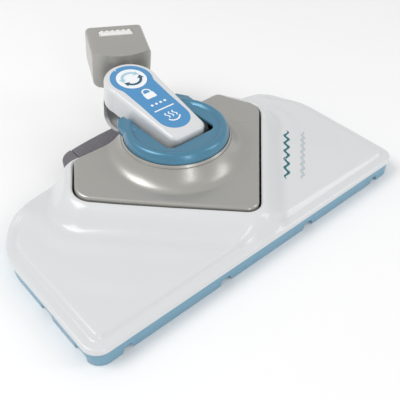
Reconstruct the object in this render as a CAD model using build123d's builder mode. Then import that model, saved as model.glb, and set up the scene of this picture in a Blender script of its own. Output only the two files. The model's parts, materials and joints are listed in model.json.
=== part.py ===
"""Floor head of a steam mop: a wide white head that carries a small lift-out detail head.

Millimetres. +X runs along the long front edge, +Y points to the rear, +Z is up. The origin is
on the floor, on the vertical axis of the hub ring in the middle of the detail head.
"""
from build123d import *
import math
import os

os.makedirs("parts", exist_ok=True)

# ---- driving dimensions ---------------------------------------------------------------

# large head, seen from above
head_width = 300.0          # across the shoulders, the widest place
front_width = 294.0         # across the two front corners
front_reach = 105.0         # hub axis to the front edge
shoulder_reach = 30.0       # hub axis to the sharp shoulder corner, before rounding
rear_reach = 42.0           # hub axis to the rear edge of the white shell
rear_width = 168.0          # length of the straight rear edge
front_corner_r = 12.0
shoulder_r = 50.0

# large head, heights above the floor
band_top = 12.3             # top of the coloured base band
rim_bottom = 12.5
rim_top = 16.5
plateau_top = 20.5
slope_foot = 26.0           # where the slope up to the detail head begins
shell_wall = 2.4
rim_width = 9.0             # ledge between the outer edge and the plateau step

# base plate
base_floor_bottom = 1.8
base_floor = 2.5
band_inset = 1.2
band_wall = 6.0
notch_height = 5.2
notch_depth = 3.0

# detail head, seen from above: a right angle that points forwards, cut off behind
apex_reach = 91.0           # hub axis to the sharp apex, before rounding
wing_half = 92.0            # half the width at the two side corners
tail_half = 72.0            # half the width at the two rear corners
tail_reach = 33.0
apex_r, wing_r, tail_r = 9.0, 14.0, 6.0
edge_gap = 1.6              # open gap between the detail head and the white shell
cover_wall = 2.2
cover_bottom = 20.0
tray_bottom = 0.0
tray_floor = 2.4
tray_wall = 2.4
pad_thick = 0.8

# hub ring
ring_foot_r, ring_foot_z = 40.5, 50.0
ring_crest_r, ring_crest_z = 35.3, 57.6
ring_inner_r = 32.4
dish_top = 55.6             # flat dish inside the ring
dish_thick = 2.0
dome_r = 54.0               # where the dome flank meets the cover

# arm and its tilt axle
tilt_y, tilt_z = 2.0, 42.0
arm_slope = 9.0             # degrees that the arm rises to the rear in the laid-back position
arm_top = 20.7              # arm's flat face above the tilt axis, square to the face
pivot_reach = 58.0          # tilt axis to swivel axis, along the arm
drum_r = 22.0
arm_front = 17.5            # flat face's front end, ahead of the tilt axis
arm_front_half = 15.8
arm_wall = 2.2
barrel_r = 24.8
split_height = 0.0          # joint line between the upper shell and the lower cup
cup_depth = 24.0
axle_r = 4.0
axle_length = 53.0
bracket_inner = 20.4        # half the clear width between the two bearing brackets
bracket_thick = 6.0
bush_r = 6.5
running = 0.05              # radial running clearance of pins and axles
face_gap = 0.3              # clearance between parts that move past each other

# swivel and neck socket
swivel_angle = -23.4        # degrees, negative towards +X
swivel_pin_r = 4.0
knuckle_r = 13.0
knuckle_half = 6.5
tongue_half = 6.0
swivel_reach = 32.0         # degrees that the neck turns each way from straight back
neck_width = 50.0
neck_top = 22.0
neck_bottom = -11.5
neck_front = 37.5           # swivel axis to the neck's front corners
nose_reach = 29.6           # swivel axis to the middle of the curved front wall
neck_rear = 74.0
neck_wall = 2.6
neck_edge_r = 4.5
socket_depth = 29.0
button_width, button_length = 30.0, 8.6
button_near = 59.4          # swivel axis to the near side of the release button
button_travel = 2.5

# rear step and release pedal
step_half = 68.0
step_reach = 73.0            # rear edge at the step's two ends
step_bulge = 8.0             # how much further the rear edge reaches in the middle
step_top = 16.0
step_r = 16.0
pedal_half = 53.0
pedal_pin_r = 2.0
pedal_pin_y, pedal_pin_z = 49.5, 9.5
pedal_swing = 9.0           # degrees

# fasteners
screw_r = 1.9
screw_head_r = 3.4
boss_r = 5.0

# ---- working planes --------------------------------------------------------------------

tilt_origin = (0, tilt_y, tilt_z)
arm_plane = Plane(Location(tilt_origin, (arm_slope, 0, 0)))
pivot_plane = Plane(arm_plane.location * Pos(0, pivot_reach, 0))
neck_plane = Plane(pivot_plane.location * Rot(0, 0, swivel_angle))


def save(part, name, plane=Plane.XY):
    """Moves a finished part from its own plane into place, labels it and writes its STEP file."""
    placed = plane.location * part
    placed.label = name
    export_step(placed, f"parts/{name}.step")


# ---- outlines shared by several parts --------------------------------------------------


def head_plan(inset):
    """The large head's outline, moved inwards by inset."""
    half, front, rear = head_width / 2, front_width / 2, rear_width / 2
    with BuildSketch() as plan:
        with BuildLine():
            Polyline(
                (-front, -front_reach), (front, -front_reach), (half, shoulder_reach),
                (rear, rear_reach), (-rear, rear_reach), (-half, shoulder_reach), close=True,
            )
        make_face()
        if inset:
            offset(amount=-inset, kind=Kind.INTERSECTION)
        fillet(plan.vertices().filter_by(lambda v: v.Y < 0), max(front_corner_r - inset, 3))
        shoulders = plan.vertices().filter_by(lambda v: v.Y > 0 and abs(v.X) > (half + rear) / 2)
        fillet(shoulders, max(shoulder_r - inset, 3))
    return plan.sketch


def detail_plan(grow):
    """The detail head's outline, moved outwards by grow."""
    wing_y = wing_half - apex_reach
    with BuildSketch() as plan:
        with BuildLine():
            Polyline(
                (0, -apex_reach), (wing_half, wing_y), (tail_half, tail_reach),
                (-tail_half, tail_reach), (-wing_half, wing_y), close=True,
            )
        make_face()
        if grow:
            offset(amount=grow, kind=Kind.INTERSECTION)
        fillet(plan.vertices().filter_by(lambda v: v.Y < wing_y - 20), apex_r + grow)
        fillet(plan.vertices().filter_by(lambda v: abs(v.Y - wing_y) < 8), wing_r + grow)
        tails = plan.vertices().filter_by(lambda v: v.Y > tail_reach + grow - 1)
        fillet(tails, tail_r + max(grow, -3))
    return plan.sketch


def under_skyline(drop):
    """Everything below the detail head's gently rising top line, lowered by drop."""
    front, middle, rear = -front_reach - 5, 0, tail_reach + 14
    with BuildPart() as room:
        with BuildSketch(Plane.YZ) as side:
            with BuildLine():
                Spline(
                    (front, 34.0 - drop), (-45, 34.8 - drop), (middle, 36.8 - drop),
                    (rear, 44.5 - drop),
                )
                Polyline(
                    (rear, 44.5 - drop), (rear, -10), (front, -10), (front, 34.0 - drop),
                )
            make_face()
        extrude(amount=head_width / 2, both=True)
    return room.part


def dome(drop):
    """The round dome under the hub ring, lowered and drawn in by drop."""
    with BuildPart() as solid:
        with BuildSketch(Plane.XZ):
            with BuildLine():
                foot = (dome_r - drop, 37.0 - drop)
                waist = (ring_foot_r + 5.0 - drop, 43.0 - drop)
                head = (ring_foot_r + 0.6 - drop, ring_foot_z - drop)
                Spline(foot, waist, head, tangents=[(-1, 0.25), (-0.35, 1)])
                Polyline(head, (0, head[1]), (0, cover_bottom - 2), (foot[0], cover_bottom - 2), foot)
            make_face()
        revolve(axis=Axis.Z)
    return solid.part


# ---- large head: white shell -----------------------------------------------------------

screw_spots = [
    (side * x, y) for side in (-1, 1) for x, y in ((128, -85), (66, -90), (120, 6))
]


def shell_form(inset, drop):
    """The large head's outer form, drawn in by inset and lowered by drop."""
    bottom = rim_bottom if not drop else rim_bottom - 1
    with BuildPart() as form:
        with BuildSketch(Plane.XY.offset(bottom)):
            add(head_plan(inset))
        extrude(amount=rim_top - drop - bottom)
        with BuildSketch(Plane.XY.offset(bottom)):
            add(head_plan(rim_width + inset))
        extrude(amount=plateau_top - drop - bottom)
        # two tapered terraces climb to the detail head
        for grow, top, taper in ((22, slope_foot, 50), (9, 48.0, 22)):
            with BuildPart(mode=Mode.PRIVATE) as terrace:
                with BuildSketch(Plane.XY.offset(plateau_top - 4)):
                    add(detail_plan(grow - inset))
                extrude(amount=top - drop - plateau_top + 4, taper=taper)
                with BuildSketch(Plane.XY.offset(bottom)):
                    add(head_plan(rim_width / 2 + inset))
                extrude(amount=60, mode=Mode.INTERSECT)
            add(terrace.part)
        add(under_skyline(drop - 1.0), mode=Mode.INTERSECT)
    return form.part


def detail_opening(grow, low, high):
    """The well in which the detail head sits, open to the rear."""
    with BuildPart() as well:
        with BuildSketch(Plane.XY.offset(low)):
            add(detail_plan(edge_gap + grow))
            with Locations((0, rear_reach)):
                Rectangle(2 * (tail_half + edge_gap + grow) - 6, 2 * (rear_reach - tail_reach) + 16)
        extrude(amount=high - low)
    return well.part


with BuildPart() as outer_shell:
    add(shell_form(0, 0))
    cavity = shell_form(shell_wall, shell_wall) - detail_opening(shell_wall, 0, 60)
    add(cavity, mode=Mode.SUBTRACT)
    add(detail_opening(0, 0, 60), mode=Mode.SUBTRACT)
    with BuildSketch(Plane.XY.offset(rim_bottom)):
        with Locations(*screw_spots):
            Circle(boss_r)
    extrude(amount=plateau_top - shell_wall - rim_bottom)
    with Locations(*[(x, y, rim_bottom) for x, y in screw_spots]):
        Cylinder(screw_r, 14, mode=Mode.SUBTRACT)
save(outer_shell.part, "outer_shell")

# ---- large head: base plate ------------------------------------------------------------

front_notches = [(side * x, width) for side in (-1, 1) for x, width in ((41.5, 15), (122.5, 13))]
side_notches = [(-48.0, 13), (-88.0, 13)]

with BuildPart() as base_plate:
    with BuildSketch():
        add(head_plan(band_inset))
    extrude(amount=band_top)
    with BuildSketch():
        add(head_plan(band_inset + band_wall))
    extrude(amount=base_floor_bottom, mode=Mode.SUBTRACT)
    with BuildSketch(Plane.XY.offset(base_floor_bottom + base_floor)):
        add(head_plan(band_inset + band_wall))
    extrude(amount=band_top, mode=Mode.SUBTRACT)
    # raised wall around the well, then the well itself
    with BuildSketch(Plane.XY.offset(base_floor_bottom)):
        add(detail_plan(edge_gap + base_floor))
    extrude(amount=band_top - base_floor_bottom)
    with BuildSketch():
        add(detail_plan(edge_gap))
    extrude(amount=band_top, mode=Mode.SUBTRACT)
    # notches along the lower edge of the band
    for x, width in front_notches:
        with BuildSketch(Plane.XZ.offset(front_reach + 1)):
            with Locations((x, 0)):
                Trapezoid(width, 2 * notch_height, 68)
        extrude(amount=-notch_depth - band_inset - 1, mode=Mode.SUBTRACT)
    for y, width in side_notches:
        for side in (-1, 1):
            with Locations((side * head_width / 2, y, 0)):
                Box(2 * (notch_depth + band_inset) + 3, width, 2 * notch_height, mode=Mode.SUBTRACT)
    # columns that take the screws up into the shell
    with BuildSketch(Plane.XY.offset(base_floor_bottom)):
        with Locations(*screw_spots):
            Circle(boss_r)
    extrude(amount=band_top - base_floor_bottom)
    with Locations(*[(x, y, 0) for x, y in screw_spots]):
        Cylinder(screw_r + running, 2 * band_top, mode=Mode.SUBTRACT)
        Cylinder(screw_head_r + 0.2, 2 * (base_floor_bottom + 1.6), mode=Mode.SUBTRACT)
save(base_plate.part, "base_plate")

with BuildPart() as base_screws:
    seat = base_floor_bottom + 1.6
    with Locations(*[(x, y, seat) for x, y in screw_spots]):
        Cylinder(screw_r, 15.5, align=(Align.CENTER, Align.CENTER, Align.MIN))
        Cylinder(screw_head_r, 1.8, align=(Align.CENTER, Align.CENTER, Align.MAX))
save(base_screws.part, "base_screws")

with BuildPart() as pad_strips:
    strip_top = base_floor_bottom
    for side in (-1, 1):
        for x, y, length, width in ((100, -62, 58, 18), (112, -25, 42, 16)):
            with BuildSketch(Plane.XY.offset(strip_top - 1.2)):
                with Locations((side * x, y)):
                    RectangleRounded(length, width, 4)
            extrude(amount=1.2)
save(pad_strips.part, "pad_strips")

# ---- large head: rear step and release pedal -------------------------------------------

base_rear = rear_reach - band_inset
step_front = base_rear
pedal_side_gap = 0.8



def step_plan(inset):
    """The rear step's outline, with its bowed rear edge moved inwards by inset."""
    rear = step_reach - inset
    with BuildSketch() as plan:
        with BuildLine():
            Polyline((step_half, rear), (step_half, step_front), (-step_half, step_front), (-step_half, rear))
            ThreePointArc((-step_half, rear), (0, rear + step_bulge), (step_half, rear))
        make_face()
        fillet(plan.vertices().filter_by(lambda v: v.Y > step_front + 1), step_r)
    return plan.sketch


with BuildPart() as rear_step:
    with BuildSketch():
        add(step_plan(0))
    extrude(amount=step_top)
    # bay for the pedal, open above and behind
    bay = pedal_half + pedal_side_gap
    with Locations((0, (step_front + 4 + step_reach + step_bulge + 5) / 2, 3.0)):
        Box(
            2 * bay, step_reach + step_bulge + 5 - step_front - 4, step_top,
            align=(Align.CENTER, Align.CENTER, Align.MIN), mode=Mode.SUBTRACT,
        )
    with Locations((0, step_front, 12.6)):
        Box(2 * bay, 20, 10, align=(Align.CENTER, Align.CENTER, Align.MIN), mode=Mode.SUBTRACT)
    with Locations((0, pedal_pin_y, pedal_pin_z)):
        Cylinder(pedal_pin_r, 2 * (bay + 5), rotation=(0, 90, 0), mode=Mode.SUBTRACT)
save(rear_step.part, "rear_step")

with BuildPart() as release_pedal:
    pedal_rear = step_reach + step_bulge
    pedal_front = pedal_pin_y - 3.4
    with BuildSketch(Plane.YZ):
        with BuildLine():
            Polyline(
                (pedal_front, pedal_pin_z - 3.0), (pedal_pin_y + 3.4, pedal_pin_z - 3.0),
                (pedal_rear, pedal_pin_z - 0.5), (pedal_rear, step_top - 0.2),
                (pedal_front, step_top - 0.2), close=True,
            )
        make_face()
    extrude(amount=pedal_half, both=True)
    with BuildSketch():
        add(step_plan(0.6))
    extrude(amount=2 * step_top, mode=Mode.INTERSECT)
    # hollow underside, then the pin's bore
    with Locations((0, (pedal_pin_y + 5 + step_reach - 2.5) / 2, pedal_pin_z - 4)):
        Box(
            2 * pedal_half - 6, step_reach - 2.5 - pedal_pin_y - 5, step_top - 3.0 - pedal_pin_z + 4,
            align=(Align.CENTER, Align.CENTER, Align.MIN), mode=Mode.SUBTRACT,
        )
    with Locations((0, pedal_pin_y, pedal_pin_z)):
        Cylinder(pedal_pin_r + running, 3 * pedal_half, rotation=(0, 90, 0), mode=Mode.SUBTRACT)
    # two latch fingers that reach up towards the detail head's rear wall
    for side in (-1, 1):
        with BuildSketch(Plane.YZ.offset(side * 38)):
            with BuildLine():
                Polyline(
                    (pedal_front + 0.5, step_top - 3.0), (pedal_front + 3.5, step_top - 3.0),
                    (pedal_front + 3.5, 18.5), (pedal_front, 21.0), (pedal_front - 9.0, 21.0),
                    (pedal_front - 9.0, 19.4), (pedal_front + 0.5, 18.0), close=True,
                )
            make_face()
        extrude(amount=4, both=True)
save(release_pedal.part, "release_pedal")

with BuildPart() as pedal_pin:
    with Locations((0, pedal_pin_y, pedal_pin_z)):
        Cylinder(pedal_pin_r, 2 * (pedal_half + pedal_side_gap + 5), rotation=(0, 90, 0))
save(pedal_pin.part, "pedal_pin")


def spring(radius, wire, height, turns, plane):
    """A plain compression spring, as stacked rings joined by short posts."""
    with BuildPart() as coil:
        pitch = (height - wire) / turns
        for turn in range(turns + 1):
            with BuildSketch(plane.offset(turn * pitch)):
                Circle(radius)
                Circle(radius - wire, mode=Mode.SUBTRACT)
            extrude(amount=wire)
        for turn in range(turns):
            with BuildSketch(plane.offset(turn * pitch + wire)):
                with Locations(((radius - wire / 2) * (1 if turn % 2 else -1), 0)):
                    Rectangle(wire * 0.8, wire)
            extrude(amount=pitch - wire)
    return coil.part


pedal_spring = spring(4.0, 0.9, 6.0, 4, Plane((0, pedal_pin_y + 15, 3.3)))
save(pedal_spring, "pedal_spring")

# ---- detail head: cover, tray and steam parts ------------------------------------------

slot_half = 22.5            # half the width of the arm's slot through the hub
slot_front = tilt_y - 22.6
detail_screw_spots = [(0, -72), (-70, 5), (70, 5), (-52, 24), (52, 24)]


def arm_slot(low, high, half, front):
    """Room for the arm through the hub, open to the rear."""
    with BuildPart() as slot:
        with BuildSketch(Plane.XY.offset(low)) as mouth:
            with Locations((0, (front + tail_reach + 30) / 2)):
                Rectangle(2 * half, tail_reach + 30 - front)
            fillet(mouth.vertices().group_by(Axis.Y)[0], 6)
        extrude(amount=high - low)
    return slot.part


def detail_form(inset):
    """The detail head's outer form: its outline, its rising top and the dome."""
    with BuildPart() as form:
        with BuildSketch(Plane.XY.offset(cover_bottom - (1 if inset else 0))):
            add(detail_plan(-inset))
        extrude(amount=50)
        add(under_skyline(inset) + dome(inset), mode=Mode.INTERSECT)
    return form.part


def pad_plan():
    """The patches of hook tape under the detail head."""
    with BuildSketch() as plan:
        with Locations((-40, -12), (40, -12)):
            RectangleRounded(30, 30, 4)
        with Locations((0, -58)):
            RectangleRounded(26, 8, 2)
    return plan.sketch


with BuildPart() as detail_cover:
    add(detail_form(0))
    add(detail_form(cover_wall), mode=Mode.SUBTRACT)
    with BuildPart(mode=Mode.PRIVATE) as bosses:
        with BuildSketch(Plane.XY.offset(cover_bottom)):
            with Locations(*detail_screw_spots):
                Circle(boss_r - 0.8)
        extrude(amount=30)
        add(detail_form(cover_wall / 2), mode=Mode.INTERSECT)
    add(bosses.part)
    with BuildSketch(Plane.XY.offset(cover_bottom + 10)):
        Circle(ring_inner_r + 1.6)
    extrude(amount=40, mode=Mode.SUBTRACT)
    add(arm_slot(cover_bottom - 1, 60, slot_half + 0.6, 5), mode=Mode.SUBTRACT)
    with Locations(*[(x, y, cover_bottom) for x, y in detail_screw_spots]):
        Cylinder(screw_r - running, 20, mode=Mode.SUBTRACT)
save(detail_cover.part, "detail_cover")

with BuildPart() as detail_tray:
    tray_inset = 0.2
    with BuildSketch(Plane.XY.offset(tray_bottom)):
        add(detail_plan(-tray_inset))
    extrude(amount=cover_bottom - tray_bottom)
    with BuildSketch(Plane.XY.offset(tray_bottom + tray_floor)):
        add(detail_plan(-tray_inset - tray_wall))
    extrude(amount=40, mode=Mode.SUBTRACT)
    with BuildSketch(Plane.XY.offset(tray_bottom)):
        with Locations(*detail_screw_spots):
            Circle(boss_r - 0.8)
        with Locations((0, tilt_y)):
            Circle(6.2)
    extrude(amount=13.0 - tray_bottom)
    with BuildSketch(Plane.XY.offset(tray_bottom)):
        with Locations(*detail_screw_spots):
            Circle(boss_r - 0.8)
    extrude(amount=cover_bottom - tray_bottom)
    with Locations(*[(x, y, 0) for x, y in detail_screw_spots]):
        Cylinder(screw_r + running, 3 * cover_bottom, mode=Mode.SUBTRACT)
        Cylinder(screw_head_r, 2 * (tray_bottom + 2.0), mode=Mode.SUBTRACT)
    with Locations((0, tilt_y, tray_bottom + tray_floor)):
        Cylinder(3.1, 30, align=(Align.CENTER, Align.CENTER, Align.MIN), mode=Mode.SUBTRACT)
    with Locations((0, -44, 0)):
        with GridLocations(9, 9, 5, 2):
            Cylinder(1.2, 12, mode=Mode.SUBTRACT)
    with BuildSketch(Plane.XY.offset(tray_bottom)):
        add(pad_plan())
    extrude(amount=pad_thick, mode=Mode.SUBTRACT)
save(detail_tray.part, "detail_tray")

with BuildPart() as detail_screws:
    with Locations(*[(x, y, tray_bottom + 2.0) for x, y in detail_screw_spots]):
        Cylinder(screw_r - running, 25, align=(Align.CENTER, Align.CENTER, Align.MIN))
        Cylinder(screw_head_r - 0.2, 1.8, align=(Align.CENTER, Align.CENTER, Align.MAX))
save(detail_screws.part, "detail_screws")

with BuildPart() as hub_ring:
    with BuildSketch(Plane.XZ):
        with BuildLine():
            foot, crest = (ring_foot_r, ring_foot_z), (ring_crest_r, ring_crest_z)
            Spline(foot, (ring_foot_r - 1.0, ring_foot_z + 4.4), crest, tangents=[(0, 1), (-1, 0)])
            Polyline(
                crest, (ring_inner_r + 1.2, ring_crest_z - 0.7), (ring_inner_r, dish_top),
                (0, dish_top), (0, dish_top - dish_thick), (ring_inner_r + 1.6, dish_top - dish_thick),
                (ring_inner_r + 1.6, ring_foot_z), foot,
            )
        make_face()
    revolve(axis=Axis.Z)
    # two short horns carry the rim on to the rear, one each side of the arm
    with BuildPart(mode=Mode.PRIVATE) as horns:
        for side in (-1, 1):
            with BuildSketch(Plane.XY.offset(ring_foot_z)) as horn:
                with BuildLine():
                    Polyline(
                        (side * slot_half, 16), (side * 34, 16), (side * 34.6, 27),
                        (side * 29, 36.5), (side * slot_half, 36.5), close=True,
                    )
                make_face()
            extrude(amount=ring_crest_z - ring_foot_z - 0.8)
        fillet(horns.edges().group_by(Axis.Z)[-1], 2.0)
    add(horns.part)
    add(arm_slot(ring_foot_z - 1, 60, slot_half, slot_front), mode=Mode.SUBTRACT)
save(hub_ring.part, "hub_ring")

bracket_mid = bracket_inner + bracket_thick / 2
for side, name in ((-1, "left"), (1, "right")):
    with BuildPart() as bracket:
        with BuildSketch(Plane.YZ.offset(side * bracket_mid - bracket_thick / 2)):
            with Locations((tilt_y, tilt_z)):
                Circle(10.2)
            with Locations((tilt_y, (tilt_z + tray_bottom + tray_floor) / 2)):
                Rectangle(20.4, tilt_z - tray_bottom - tray_floor)
            with Locations((tilt_y, tilt_z)):
                Circle(bush_r, mode=Mode.SUBTRACT)
        extrude(amount=bracket_thick)
        with Locations((side * (bracket_mid + 4), tilt_y, tray_bottom + tray_floor)):
            Box(bracket_thick + 8, 34, 3, align=(Align.CENTER, Align.CENTER, Align.MIN))
    save(bracket.part, f"bearing_bracket_{name}")

axle_line = Plane((0, tilt_y, tilt_z), x_dir=(0, 1, 0), z_dir=(1, 0, 0))

with BuildPart() as tilt_bushes:
    for side in (-1, 1):
        with BuildSketch(axle_line.offset(side * bracket_mid - bracket_thick / 2)):
            Circle(bush_r)
            Circle(axle_r + running, mode=Mode.SUBTRACT)
        extrude(amount=bracket_thick)
save(tilt_bushes.part, "tilt_bushes")

with BuildPart() as detent_plunger:
    with Locations((0, tilt_y, 9.0)):
        Cylinder(3.0, 7.6, align=(Align.CENTER, Align.CENTER, Align.MIN))
    fillet(detent_plunger.edges().group_by(Axis.Z)[-1], 2.4)
save(detent_plunger.part, "detent_plunger")
save(spring(2.8, 0.6, 5.8, 4, Plane((0, tilt_y, tray_bottom + tray_floor + 0.1))), "detent_spring")

# steam manifold on the tray floor, and the hose that feeds it from the hollow axle
manifold_bottom = tray_bottom + tray_floor
with BuildPart() as steam_manifold:
    with BuildSketch(Plane.XY.offset(manifold_bottom)):
        with Locations((0, -46)):
            RectangleRounded(50, 26, 6)
    extrude(amount=8)
    with BuildSketch(Plane.XY.offset(manifold_bottom)):
        with Locations((0, -46)):
            RectangleRounded(46, 22, 4)
    extrude(amount=6, mode=Mode.SUBTRACT)
    with Locations((17, -42, manifold_bottom)):
        Cylinder(3.0, 12, align=(Align.CENTER, Align.CENTER, Align.MIN))
        Cylinder(1.8, 30, mode=Mode.SUBTRACT)
save(steam_manifold.part, "steam_manifold")

hose_start = bracket_mid + bracket_thick / 2 + 1.5
with BuildPart() as steam_elbow:
    with BuildSketch(axle_line.offset(hose_start)):
        Circle(5.6)
        Circle(1.9, mode=Mode.SUBTRACT)
    extrude(amount=5)
    with BuildSketch(axle_line.offset(hose_start + 5)):
        Circle(5.6)
    extrude(amount=3)
    with Locations((hose_start + 4, tilt_y, tilt_z - 4)):
        Cylinder(2.6, 8, align=(Align.CENTER, Align.CENTER, Align.MAX))
save(steam_elbow.part, "steam_elbow")

with BuildPart() as steam_hose:
    with BuildLine() as route:
        Bezier(
            (hose_start + 4, tilt_y, tilt_z - 12.7), (hose_start + 6, tilt_y, tilt_z - 32),
            (17, -42, tilt_z - 4), (17, -42, manifold_bottom + 12.1),
        )
    with BuildSketch(Plane(route.line @ 0, z_dir=route.line % 0)):
        Circle(3.2)
        Circle(2.0, mode=Mode.SUBTRACT)
    sweep()
save(steam_hose.part, "steam_hose")

with BuildPart() as detail_pads:
    with BuildSketch(Plane.XY.offset(tray_bottom)):
        add(pad_plan())
    extrude(amount=pad_thick)
save(detail_pads.part, "detail_pads")

# ---- arm: upper shell, lower cup and tilt axle, drawn in the arm's own plane --------------


def arm_plan(inset):
    """The arm's outline: a tapered bar that ends in the round drum, moved inwards by inset."""
    rear_half = drum_r - 0.2
    with BuildSketch() as plan:
        with BuildLine():
            Polyline(
                (-arm_front_half, -arm_front), (arm_front_half, -arm_front),
                (rear_half, pivot_reach - 6), (-rear_half, pivot_reach - 6), close=True,
            )
        make_face()
        fillet(plan.vertices().group_by(Axis.Y)[0], 7)
        with Locations((0, pivot_reach)):
            Circle(drum_r)
        if inset:
            offset(amount=-inset)
    return plan.sketch


def arm_form(inset):
    """The arm's upper body with the barrel around the tilt axle, shrunk by inset."""
    top = arm_top - inset
    with BuildPart() as form:
        with BuildSketch(Plane.XY.offset(-barrel_r)):
            add(arm_plan(inset))
        extrude(amount=barrel_r + top)
        with BuildSketch(Plane.YZ) as side:
            with Locations(((pivot_reach + drum_r - arm_front) / 2, (top + split_height) / 2)):
                Rectangle(pivot_reach + drum_r + arm_front + 2, top - split_height)
            Circle(barrel_r - inset)
        extrude(amount=drum_r + 5, both=True, mode=Mode.INTERSECT)
    return form.part


def drum_slot(half_height, half_angle, reach):
    """The opening behind the swivel pin through which the neck's tongue sweeps."""
    x = reach * math.sin(math.radians(half_angle))
    y = reach * math.cos(math.radians(half_angle))
    with BuildPart() as sweep_room:
        with BuildSketch(Plane.XY.offset(-half_height)):
            with BuildLine():
                Polyline((0, pivot_reach), (x, pivot_reach + y), (-x, pivot_reach + y), close=True)
            make_face()
        extrude(amount=2 * half_height)
    return sweep_room.part


def label_plan(grow):
    """The keyhole outline of the coloured label: a round end over the pivot and a long tail."""
    with BuildSketch() as plan:
        with BuildLine():
            Polyline(
                (-16.0 - grow, pivot_reach - 9), (-13.4 - grow, 23.5), (-13.2 - grow, 4.6),
                (13.2 + grow, 4.6), (13.4 + grow, 23.5), (16.0 + grow, pivot_reach - 9), close=True,
            )
        make_face()
        with Locations((0, pivot_reach)):
            Circle(17.2 + grow)
        with Locations((0, 4.6)):
            Circle(13.2 + grow)
    return plan.sketch


label_thick = 0.9
tube_r = 3.2
tube_x, tube_z = -11.0, -14.0

with BuildPart() as arm_shell:
    add(arm_form(0))
    fillet(arm_shell.edges().filter_by(Axis.X).sort_by(Axis.Z)[-1], 6)
    add(arm_form(arm_wall), mode=Mode.SUBTRACT)
    # the underside behind the barrel stays open towards the lower cup
    with BuildSketch(Plane.XY.offset(split_height - 1)):
        add(arm_plan(arm_wall))
        with Locations((0, 0)):
            Rectangle(60, 2 * barrel_r + 3, mode=Mode.SUBTRACT)
    extrude(amount=6, mode=Mode.SUBTRACT)
    # cheeks around the axle and the boss that takes the swivel pin
    with Locations(*[(side * 13.2, 0, 0) for side in (-1, 1)]):
        Cylinder(9.0, 4.6, rotation=(0, 90, 0))
    with BuildSketch(Plane.XY.offset(knuckle_half + 2.1)):
        with Locations((0, pivot_reach)):
            Circle(8.5)
    extrude(amount=arm_top - arm_wall - knuckle_half - 1.6)
    with Locations((0, 0, 0)):
        Cylinder(axle_r, 80, rotation=(0, 90, 0), mode=Mode.SUBTRACT)
    with Locations((0, pivot_reach, -5)):
        Cylinder(swivel_pin_r, 22, align=(Align.CENTER, Align.CENTER, Align.MIN), mode=Mode.SUBTRACT)
    with Locations((tube_x, 18, tube_z)):
        Cylinder(tube_r + face_gap, 26, rotation=(90, 0, 0), mode=Mode.SUBTRACT)
    add(drum_slot(knuckle_half + 1.2, 50, 40), mode=Mode.SUBTRACT)
    with BuildSketch(Plane.XY.offset(arm_top - label_thick)):
        add(label_plan(0.1))
    extrude(amount=5, mode=Mode.SUBTRACT)
save(arm_shell.part, "arm_shell", arm_plane)

with BuildPart() as arm_label:
    with BuildSketch(Plane.XY.offset(arm_top - label_thick)):
        add(label_plan(0))
    extrude(amount=label_thick + 0.1)
save(arm_label.part, "arm_label", arm_plane)

cup_r = drum_r + 0.5
cup_wall = 2.5
with BuildPart() as lower_cup:
    with Locations((0, pivot_reach, split_height)):
        Cylinder(cup_r, cup_depth, align=(Align.CENTER, Align.CENTER, Align.MAX))
    fillet(lower_cup.edges().group_by(Axis.Z)[0], 9)
    with BuildPart(mode=Mode.PRIVATE) as cup_room:
        with Locations((0, pivot_reach, split_height)):
            Cylinder(
                cup_r - cup_wall, cup_depth - cup_wall,
                align=(Align.CENTER, Align.CENTER, Align.MAX),
            )
        fillet(cup_room.edges().group_by(Axis.Z)[0], 7)
    add(cup_room.part, mode=Mode.SUBTRACT)
    with Locations((0, pivot_reach, split_height - cup_depth + cup_wall - 0.5)):
        Cylinder(
            6.0, cup_depth - cup_wall - knuckle_half - 1.6,
            align=(Align.CENTER, Align.CENTER, Align.MIN),
        )
    # side windows, the open front and the swivel slot
    for side in (-1, 1):
        with BuildSketch(Plane.YZ.offset(side * 14.5)):
            with Locations((pivot_reach - 4.5, -8.5)):
                RectangleRounded(32, 20.6, 5)
        extrude(amount=side * 14, mode=Mode.SUBTRACT)
    with Locations((0, pivot_reach - drum_r, -9.5)):
        Box(34, 16, 20, mode=Mode.SUBTRACT)
    add(drum_slot(knuckle_half + 1.2, 50, 40), mode=Mode.SUBTRACT)
    with Locations((0, pivot_reach, -12)):
        Cylinder(swivel_pin_r, 40, mode=Mode.SUBTRACT)
save(lower_cup.part, "lower_cup", arm_plane)

with BuildPart() as tilt_axle:
    with Locations((0, 0, 0)):
        Cylinder(axle_r, axle_length, rotation=(0, 90, 0))
        Cylinder(1.9, axle_length - 8, rotation=(0, 90, 0), mode=Mode.SUBTRACT)
save(tilt_axle.part, "tilt_axle", arm_plane)

with BuildPart() as swivel_pin:
    with Locations((0, pivot_reach, split_height - cup_depth)):
        Cylinder(swivel_pin_r, 40.5, align=(Align.CENTER, Align.CENTER, Align.MIN))
        Cylinder(6.5, 1.6, align=(Align.CENTER, Align.CENTER, Align.MAX))
save(swivel_pin.part, "swivel_pin", arm_plane)

with BuildPart() as swivel_washers:
    for low in (knuckle_half + 0.3, -knuckle_half - 1.8):
        with BuildSketch(Plane.XY.offset(low)):
            with Locations((0, pivot_reach)):
                Circle(11.5)
                Circle(swivel_pin_r, mode=Mode.SUBTRACT)
        extrude(amount=1.5)
save(swivel_washers.part, "swivel_washers", arm_plane)

with BuildPart() as arm_steam_tube:
    with BuildLine() as tube_route:
        FilletPolyline(
            (tube_x, 15, tube_z), (tube_x, pivot_reach, tube_z), (-6.2, pivot_reach, tube_z), radius=4.6,
        )
    with BuildSketch(Plane(tube_route.line @ 0, z_dir=tube_route.line % 0)):
        Circle(tube_r)
    sweep()
save(arm_steam_tube.part, "arm_steam_tube", arm_plane)

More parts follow.
